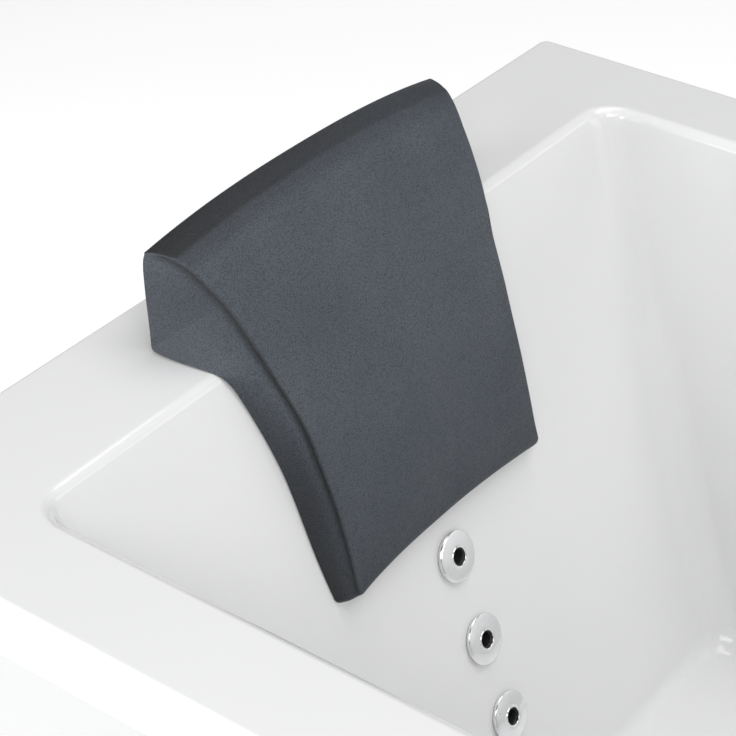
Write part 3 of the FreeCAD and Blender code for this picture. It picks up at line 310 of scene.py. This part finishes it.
MATS = {
    "acrylic": mat_acrylic(),
    "panel": mat_panel_shaded(),
    "fibreglass": mat_fibreglass(),
    "board": mat_board(),
    "frame_steel": mat_galv(),
    "zinc_steel": mat_zinc(),
    "chrome": mat_chrome(),
    "black_plastic": plastic("black_moulded", (0.008, 0.008, 0.009, 1), (0.018, 0.018, 0.019, 1), 0.28, 0.42, 160.0, 0.15),
    "white_pvc": plastic("white_pipe", (0.70, 0.70, 0.685, 1), (0.78, 0.78, 0.77, 1), 0.28, 0.42, 60.0, 0.08),
    "clear_hose": plastic("milky_hose", (0.50, 0.54, 0.57, 1), (0.62, 0.66, 0.68, 1), 0.18, 0.30, 60.0, 0.06,
                          Transmission_Weight=0.25, IOR=1.45),
    "grey_pipe": plastic("grey_pipe", (0.20, 0.21, 0.22, 1), (0.26, 0.27, 0.28, 1), 0.32, 0.45, 70.0, 0.08),
    "rubber_black": plastic("rubber_black", (0.010, 0.010, 0.010, 1), (0.022, 0.022, 0.022, 1), 0.6, 0.8, 200.0, 0.3, 0.0004),
    "foot_plastic": plastic("foot_plastic", (0.012, 0.012, 0.013, 1), (0.028, 0.028, 0.03, 1), 0.4, 0.6, 140.0, 0.25, 0.0004),
    "motor_paint": plastic("motor_paint", (0.030, 0.040, 0.060, 1), (0.050, 0.064, 0.090, 1), 0.35, 0.5, 220.0, 0.3, 0.0004, Metallic=0.25),
    "cast_cap": plastic("cast_cap", (0.30, 0.31, 0.32, 1), (0.46, 0.47, 0.48, 1), 0.38, 0.55, 240.0, 0.4, 0.0005, Metallic=0.9),
    "laminated_core": plastic("laminated_core", (0.10, 0.075, 0.055, 1), (0.20, 0.16, 0.12, 1), 0.4, 0.6, 300.0, 0.3, 0.0004, Metallic=0.7),
    "shaft_steel": plastic("shaft_steel", (0.50, 0.50, 0.51, 1), (0.68, 0.68, 0.69, 1), 0.18, 0.32, 200.0, 0.1, 0.0002, Metallic=1.0),
    "pump_plastic": plastic("pump_plastic", (0.012, 0.013, 0.015, 1), (0.030, 0.032, 0.036, 1), 0.35, 0.55, 180.0, 0.25, 0.0004),
    "pillow_skin": mat_leather(),
}
slot_of = {s["node"]: s["material_slot"] for s in frame["record"]["subparts"]}
# apron and end panels take the darker, painted-shade copy of the acrylic
PANELS = ("front_apron", "head_end_panel", "foot_end_panel")
for name, o in nodes.items():
    mat = MATS["panel"] if name in PANELS else MATS[slot_of[name]]
    for i in range(len(o.material_slots)):
        o.material_slots[i].material = mat
    if not o.material_slots:
        o.data.materials.append(mat)


# ------------------------------------------------------------------ mesh tools
def make_obj(name, verts, faces, mat, smooth=True):
    me = bpy.data.meshes.new(name)
    me.from_pydata([tuple(v) for v in verts], [], [tuple(f) for f in faces])
    me.validate()
    me.update()
    o = bpy.data.objects.new(name, me)
    bpy.context.scene.collection.objects.link(o)
    me.materials.append(mat)
    if smooth:
        me.polygons.foreach_set("use_smooth", [True] * len(me.polygons))
    bm = bmesh.new()
    bm.from_mesh(me)
    bmesh.ops.recalc_face_normals(bm, faces=bm.faces)
    bm.to_mesh(me)
    bm.free()
    return o


def interp(xs, ys, x):
    return float(np.interp(x, xs, ys))


def catmull(pts, per):
    """Smooth dense polyline through points (centripetal Catmull-Rom)."""
    P = [np.array(p, float) for p in pts]
    P = [2 * P[0] - P[1]] + P + [2 * P[-1] - P[-2]]
    out = []
    for i in range(1, len(P) - 2):
        p0, p1, p2, p3 = P[i - 1], P[i], P[i + 1], P[i + 2]
        t0 = 0.0
        t1 = t0 + max(np.linalg.norm(p1 - p0) ** 0.5, 1e-6)
        t2 = t1 + max(np.linalg.norm(p2 - p1) ** 0.5, 1e-6)
        t3 = t2 + max(np.linalg.norm(p3 - p2) ** 0.5, 1e-6)
        for k in range(per):
            t = t1 + (t2 - t1) * k / per
            a1 = (t1 - t) / (t1 - t0) * p0 + (t - t0) / (t1 - t0) * p1
            a2 = (t2 - t) / (t2 - t1) * p1 + (t - t1) / (t2 - t1) * p2
            a3 = (t3 - t) / (t3 - t2) * p2 + (t - t2) / (t3 - t2) * p3
            b1 = (t2 - t) / (t2 - t0) * a1 + (t - t0) / (t2 - t0) * a2
            b2 = (t3 - t) / (t3 - t1) * a2 + (t - t1) / (t3 - t1) * a3
            out.append((t2 - t) / (t2 - t1) * b1 + (t - t1) / (t2 - t1) * b2)
    out.append(P[-2])
    return np.array(out)


# ------------------------------------------------------------------ headrest pillow
# Side view in millimetres from the head-end rim edge (x) and the rim top (z).
def build_pillow():
    # rear point, front point, half width at the rear and at the front of each section
    st = [
        (56.6, 83.7, 57.6, 84.0, 178.8, 178.5),
        (56.6, 80.0, 62.4, 84.4, 180.9, 176.6),
        (56.6, 74.5, 68.4, 84.0, 181.7, 175.0),
        (56.6, 67.5, 74.6, 82.8, 181.8, 172.9),
        (56.6, 59.0, 80.6, 81.0, 181.5, 170.9),
        (56.6, 46.0, 90.0, 74.2, 181.0, 167.0),
        (56.6, 32.0, 97.2, 66.8, 180.0, 163.8),
        (56.6, 18.0, 104.0, 58.7, 179.1, 160.6),
        (56.7, 7.5, 108.7, 53.4, 178.8, 158.4),
        (57.1, 1.9, 111.6, 50.1, 178.7, 157.1),
        (60.6, 0.7, 114.8, 46.1, 179.4, 155.7),
        (72.0, 0.7, 120.7, 38.0, 179.6, 153.1),
        (86.0, 0.6, 127.2, 28.2, 178.2, 150.4),
        (98.0, 0.6, 132.8, 18.8, 176.6, 147.8),
        (108.0, 0.4, 137.8, 9.2, 175.2, 145.2),
        (115.9, -1.8, 144.0, -3.6, 172.5, 142.2),
        (120.8, -7.4, 148.0, -12.6, 168.8, 140.1),
        (124.0, -15.0, 152.0, -20.6, 165.1, 138.0),
        (130.0, -32.0, 159.4, -34.8, 159.4, 135.2),
        (138.2, -52.5, 167.8, -52.2, 154.0, 132.4),
        (146.3, -72.0, 175.2, -71.8, 149.9, 130.6),
        (153.9, -91.0, 182.1, -90.8, 147.0, 129.4),
        (162.3, -111.5, 189.5, -111.8, 145.8, 128.1),
        (171.1, -133.0, 196.1, -133.2, 145.4, 127.2),
        (179.9, -154.6, 202.2, -155.0, 144.9, 126.8),
        (188.7, -176.0, 207.6, -176.4, 143.5, 126.8),
        (195.3, -192.2, 211.0, -188.2, 142.0, 127.0),
    ]
    D = catmull([tuple(r) for r in st], 7)
    n = len(D)
    NF, NB, NC, NR = 90, 30, 7, 4
    from_front = [26.0, 22.0, 18.5, 15.5, 13.0, 10.8, 9.0, 7.5, 6.2, 5.1, 4.2, 3.5, 2.9, 2.4, 1.95, 1.55, 1.2, 0.85, 0.5, 0.2]

    def smooth(t):
        t = min(1.0, max(0.0, t))
        return t * t * (3 - 2 * t)

    def corner(c, a, b, r, k_n):
        """Rounded corner at c between incoming direction a and outgoing direction b."""
        ang = math.acos(max(-1, min(1, float(np.dot(-a, b)))))
        tl = r / math.tan(ang / 2)
        p0, p1 = c - a * tl, c + b * tl
        bis = b - a
        bis /= np.linalg.norm(bis)
        ctr = c + bis * (r / math.sin(ang / 2))
        v0, v1 = p0 - ctr, p1 - ctr
        w = math.acos(max(-1, min(1, float(np.dot(v0, v1)) / (r * r))))
        return [ctr + (math.sin((1 - k / k_n) * w) * v0 + math.sin(k / k_n * w) * v1) / math.sin(w)
                for k in range(k_n + 1)]

    def section(i, rf, rr, ins_w=0.0, ins_d=0.0):
        """Outline of a section as (y, d, shade); d is measured from the rear face, shade weights the painted groove
        shade behind the front edge.
        """
        rx, rz, fx, fz, wr, wf = D[i]
        T = max(math.hypot(fx - rx, fz - rz), 0.4)
        rf_, rr_ = max(min(rf, T * 0.42), 0.05), max(min(rr, T * 0.28), 0.05)
        wr2, wf2 = wr - ins_w, wf - ins_w
        d1 = T - min(ins_d, T * 0.4)
        side = np.array([wf2 - wr2, d1])
        side = side / np.linalg.norm(side)
        nrm = np.array([side[1], -side[0]])
        rear = corner(np.array([wr2, 0.0]), np.array([1.0, 0.0]), side, rr_, NR)
        front = corner(np.array([wf2, d1]), side, np.array([-1.0, 0.0]), rf_, NC)
        seg = [(rear[0][0] * k / (NB // 2), 0.0, 0.0) for k in range(NB // 2)]
        seg += [(p[0], p[1], 0.0) for p in rear]
        L = np.linalg.norm(front[0] - rear[-1])
        for v in from_front:
            # samples crowd towards the front edge, where the moulded recess is
            back = v * min(1.0, L / 28.0)
            t = 1 - back / L
            p = rear[-1] + (front[0] - rear[-1]) * t
            wd = 0.8 if back < 1.6 else 5.2
            g0 = math.exp(-((back - 1.6) / wd) ** 2) * min(1.0, L / 22.0) * groove(i)
            full = 0.9 * math.sin(math.pi * t) * min(1.0, L / 30.0)
            p = p - nrm * (2.0 * g0) + nrm * full
            wc = 1.3 if back < 1.6 else 3.6
            # the third value weights the painted shade in the groove, here and round the front corner
            seg.append((p[0], p[1], math.exp(-((back - 1.6) / wc) ** 2) * min(1.0, L / 14.0) * groove(i)))
        seg += [(p[0], p[1], 0.8 * (1 - k / NC) * groove(i) * min(1.0, L / 14.0)) for k, p in enumerate(front)]
        for k in range(1, NF // 2 + 1):
            seg.append((front[-1][0] * (1 - k / (NF // 2)), d1, 0.0))
        return seg + [(-p[0], p[1], p[2]) for p in reversed(seg[1:-1])]

    def groove(i):
        return smooth((i - 7) / 14.0) * (1 - smooth((i - (n - 46)) / 40.0) * 0.75)

    def wob(y, z):
        return (0.52 * math.sin(y * 0.021 + 1.3) * math.cos(z * 0.024 + 0.4) + 0.34 * math.sin(y * 0.043 + z * 0.035)
                + 0.20 * math.cos(y * 0.071 - z * 0.052 + 2.0))

    def place(i, y, d, sx=0.0, sz=0.0):
        rx, rz, fx, fz, wr, wf = D[i]
        T = max(math.hypot(fx - rx, fz - rz), 0.4)
        ex, ez = (fx - rx) / T, (fz - rz) / T
        crown = smooth((max(fz, rz) - 8.0) / 70.0)
        f = min(1.0, max(0.0, d / T))
        # slow waves of the foam under the skin and a shallow dip for the head
        g2 = smooth((i - 10) / 30.0) * smooth((f - 0.8) / 0.18) * smooth((wf - abs(y)) / 34.0)
        off = g2 * (0.9 * wob(y, rz + ez * d) - 1.8 * math.exp(-(((rz + fz) * 0.5 + 40) / 90.0) ** 2) * max(0.0, 1 - (y / 118.0) ** 2))
        x = rx + ex * d + ex * off + sx
        z = rz + ez * d + ez * off + sz
        z += crown * (13.8 * (1 - min(1.0, abs(y) / 181.0) ** 2.4) - 0.012 * y)
        if z < -120:
            g3 = min(1.0, (-120 - z) / 75.0)
            z += g3 * (12.5 * max(0.0, 1 - abs(y / 132.0) ** (3.7 if y < 0 else 1.65)) - 1.0)
        return (x, y, z)

    V, rings, groove_shades = [], [], []

    def ring(i, seg, sx=0.0, sz=0.0):
        idx = []
        for (y, d, c) in seg:
            V.append(place(i, y, d, sx, sz))
            groove_shades.append(c)
            idx.append(len(V) - 1)
        rings.append(idx)

    def cap_rings(i, seg, sx=0.0, sz=0.0):
        T = max(p[1] for p in seg)
        for s in (0.96, 0.86, 0.66, 0.42, 0.20, 0.02):
            ring(i, [(y * (1 - (1 - s) * 0.03), T * 0.5 + (d - T * 0.5) * s, 0.0) for (y, d, c) in seg], sx, sz)

    top = section(0, 0.4, 0.4)
    cap_rings(0, top)
    rings.reverse()
    for i in range(n):
        ring(i, section(i, 0.9 + 1.7 * min(1.0, i / 30.0), 0.9))
    # rounded lower edge, square to the wall
    ex_, ez_ = 0.3795, -0.9252
    seg = None
    for k in range(1, 11):
        a = k / 10 * math.pi / 2
        seg = section(n - 1, 2.6, 0.9, ins_w=6.8 * (1 - math.cos(a)), ins_d=4.2 * (1 - math.cos(a)))
        ring(n - 1, seg, ex_ * 7.6 * math.sin(a), ez_ * 7.6 * math.sin(a))
    cap_rings(n - 1, seg, ex_ * 7.6, ez_ * 7.6)
    faces = []
    m = len(rings[0])
    for p, q in zip(rings[:-1], rings[1:]):
        for k in range(m):
            k2 = (k + 1) % m
            faces.append((p[k], p[k2], q[k2], q[k]))
    faces.append(tuple(reversed(rings[0])))
    faces.append(tuple(rings[-1]))
    P = [((x - 900.0) / 1000.0, y / 1000.0, (z + 640.0) / 1000.0) for (x, y, z) in V]
    o = make_obj("headrest_pillow", P, faces, MATS["pillow_skin"])
    # per-vertex weight of the painted shade in the groove, read by the skin material
    at_ = o.data.attributes.new(name="groove_shade", type="FLOAT", domain="POINT")
    at_.data.foreach_set("value", [float(c) for c in groove_shades])
    return o


pillow = build_pillow()
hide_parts("pillow")
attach(pillow, "pillow")

# ------------------------------------------------------------------ jets
def lathe(name, prof, m4, mat, seg=112):
    """Turned mesh: outline of (radius, height) in millimetres round the local Z of m4, closed on itself."""
    V, faces = [], []
    for (r, h) in prof:
        for k in range(seg):
            a = 2 * math.pi * k / seg
            V.append(m4 @ Vector((r * math.cos(a) / 1000.0, r * math.sin(a) / 1000.0, h / 1000.0)))
    n_ = len(prof)
    for j in range(n_):
        j2 = (j + 1) % n_
        for k in range(seg):
            k2 = (k + 1) % seg
            faces.append((j * seg + k, j * seg + k2, j2 * seg + k2, j2 * seg + k))
    return make_obj(name, V, faces, mat)


def frame_m(o, z, x):
    z = Vector(z).normalized()
    x = Vector(x)
    x = (x - z * x.dot(z)).normalized()
    y = z.cross(x)
    m4 = Matrix((x, y, z)).transposed().to_4x4()
    m4.translation = Vector(o)
    return m4


def on_head(s, d=0.0):
    z = 630.0 - s
    return Vector(((-784.1 + 0.410130 * (640 - z)) / 1000.0, 0, z / 1000.0)) + N_HEAD * d / 1000.0


TS = math.atan(0.117473)
side_in = (365.2 - 0.117473 * (640 - 310.0)) / 1000.0
JETS = [(on_head(s), N_HEAD, -U_HEAD) for s in (226.0, 300.0, 371.0)]
JETS.append((Vector((0.15, side_in, 0.31)), Vector((0, -math.cos(TS), math.sin(TS))), Vector((1, 0, 0))))
JETS.append((Vector((0.15, -side_in, 0.31)), Vector((0, math.cos(TS), math.sin(TS))), Vector((-1, 0, 0))))
CB = -3.6
dome = catmull([(9.25, 6.12), (10.6, 6.22), (12.4, 6.10), (14.4, 5.84), (16.4, 5.52), (18.4, 5.14), (20.2, 4.74), (21.2, 4.46)], 4)
RING = [(7.6, 4.6), (7.6, 5.2), (7.6, 5.85), (7.66, 6.1), (7.82, 6.3), (8.05, 6.4), (8.3, 6.41), (8.55, 6.32), (8.75, 6.14),
        (8.88, 6.0), (9.02, 5.98)] + [tuple(p) for p in dome] + [
        (21.6, 4.28), (21.82, 4.06), (21.95, 3.78), (22.0, 3.48), (21.97, 3.27), (21.88, 3.16), (21.7, 3.1),
        (12.8, 3.1), (12.6, 2.9), (12.6, -9.7), (12.3, -10.0), (11.4, -10.0), (11.2, -9.8), (11.2, CB + 0.6), (10.95, CB + 2.2),
        (10.5, CB + 3.7), (9.8, CB + 5.3), (8.85, CB + 6.75)]
BALL = []
a0, a1 = math.atan2(-7.0, math.sqrt(10.8 ** 2 - 49)), math.atan2(8.1, math.sqrt(10.8 ** 2 - 8.1 ** 2))
for k in range(25):
    a = a0 + (a1 - a0) * k / 24
    BALL.append((10.8 * math.cos(a), CB + 10.8 * math.sin(a)))
NOZ = BALL + [(7.0, CB + 8.1), (6.75, CB + 8.02), (6.5, CB + 7.8), (6.35, CB + 7.45), (6.2, CB + 6.6), (5.3, CB + 2.6), (4.7, CB + 0.2),
              (4.35, CB - 1.0), (4.2, CB - 2.0), (4.2, CB - 7.0)]
fine = []
for j, (p, nz_, ux) in enumerate(JETS):
    m4 = frame_m(p, nz_, ux)
    k = j + 1
    r_ = lathe("jet_dome_%d" % k, RING, m4, MATS["chrome"])
    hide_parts("jet_ring_%d" % k)
    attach(r_, "jet_ring_%d" % k)
    z_ = lathe("jet_ball_%d" % k, NOZ, m4, MATS["black_plastic"])
    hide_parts("jet_nozzle_%d" % k)
    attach(z_, "jet_nozzle_%d" % k)
    fine += [r_, z_]

# ------------------------------------------------------------------ smooth shading of CAD nodes
def smooth_group():
    """Shade smooth, with edges over 30 degrees kept sharp, on the welded mesh."""
    gt = bpy.data.node_groups.new("smooth_by_angle", "GeometryNodeTree")
    gt.interface.new_socket(name="Geometry", in_out="INPUT", socket_type="NodeSocketGeometry")
    gt.interface.new_socket(name="Geometry", in_out="OUTPUT", socket_type="NodeSocketGeometry")
    gi, go = gt.nodes.new("NodeGroupInput"), gt.nodes.new("NodeGroupOutput")
    f = gt.nodes.new("GeometryNodeSetShadeSmooth")
    f.domain = "FACE"
    f.inputs["Shade Smooth"].default_value = True
    e = gt.nodes.new("GeometryNodeSetShadeSmooth")
    e.domain = "EDGE"
    e.inputs["Shade Smooth"].default_value = False
    an = gt.nodes.new("GeometryNodeInputMeshEdgeAngle")
    cmp = gt.nodes.new("FunctionNodeCompare")
    cmp.data_type = "FLOAT"
    cmp.operation = "GREATER_THAN"
    cmp.inputs[1].default_value = math.radians(30.0)
    gt.links.new(an.outputs["Unsigned Angle"], cmp.inputs[0])
    gt.links.new(cmp.outputs[0], e.inputs["Selection"])
    gt.links.new(gi.outputs[0], f.inputs["Geometry"])
    gt.links.new(f.outputs[0], e.inputs["Geometry"])
    gt.links.new(e.outputs[0], go.inputs[0])
    return gt


SMOOTH = smooth_group()


def shade_cad(o):
    w_ = o.modifiers.new("weld", "WELD")
    w_.merge_threshold = 0.00001
    s_ = o.modifiers.new("smooth", "NODES")
    s_.node_group = SMOOTH
    n_ = o.modifiers.new("weighted", "WEIGHTED_NORMAL")
    n_.keep_sharp = True
    n_.weight = 70


# ------------------------------------------------------------------ stage, light, camera
floor_mat = Mat("studio_floor")
floor_mat.color(floor_mat.ramp(floor_mat.noise(0.8, 2.0), [(0.3, (0.93, 0.93, 0.93, 1)), (0.7, (0.95, 0.95, 0.95, 1))]))
floor_mat.set(Roughness=0.9, Emission_Strength=0.30)
floor_mat.bsdf.inputs["Emission Color"].default_value = (1, 1, 1, 1)
fl = bpy.data.meshes.new("studio_floor")
S = 14.0
fl.from_pydata([(-S, -S, -0.0005), (S, -S, -0.0005), (S, S, -0.0005), (-S, S, -0.0005)], [], [(0, 1, 2, 3)])
floor = bpy.data.objects.new("studio_floor", fl)
fl.materials.append(floor_mat.m)
bpy.context.scene.collection.objects.link(floor)

sc = bpy.context.scene
sc.view_settings.view_transform = "Standard"
sc.view_settings.look = "None"
sc.view_settings.exposure = 0.0
sc.view_settings.gamma = 1.0
w = bpy.data.worlds.new("studio")
sc.world = w
w.use_nodes = True
bg = w.node_tree.nodes["Background"]
bg.inputs["Color"].default_value = (1, 1, 1, 1)
bg.inputs["Strength"].default_value = 0.24


def area(name, loc, target, size, power, sy=None):
    L = bpy.data.lights.new(name, "AREA")
    L.shape = "RECTANGLE"
    L.size = size
    L.size_y = sy or size
    L.energy = power
    o = bpy.data.objects.new(name, L)
    o.location = loc
    d = Vector(target) - Vector(loc)
    o.rotation_euler = d.to_track_quat("-Z", "Y").to_euler()
    sc.collection.objects.link(o)
    return o


# broad panels at about the tone of a white studio wall, so that glossy parts reflect no hot window
area("softbox_overhead", (0.2, 0.8, 4.3), (0.0, 0.1, 0.4), 3.4, 80.0, 2.4)
area("softbox_key", (1.5, -2.4, 3.0), (-0.1, 0.0, 0.5), 2.8, 72.0, 2.0)
area("panel_foot_right", (3.0, 2.5, 1.0), (-0.6, 0.0, 0.6), 4.0, 48.0, 2.2)
area("panel_front", (-1.3, -3.3, 1.4), (-0.3, 0.2, 0.6), 2.8, 84.0, 1.6)

cam_d = bpy.data.cameras.new("camera")
cam_d.sensor_width = 36.0
cam_d.lens = 36.0 * 2123.0 / 736.0
cam = bpy.data.objects.new("camera", cam_d)
cam.location = (0.064, -1.135, 1.516)
cam.rotation_euler = (math.radians(90 - 34.22), 0.0, math.radians(36.48))
sc.collection.objects.link(cam)
sc.camera = cam

for name, o in nodes.items():
    if not o.hide_render:
        shade_cad(o)
for o in fine:
    shade_cad(o)
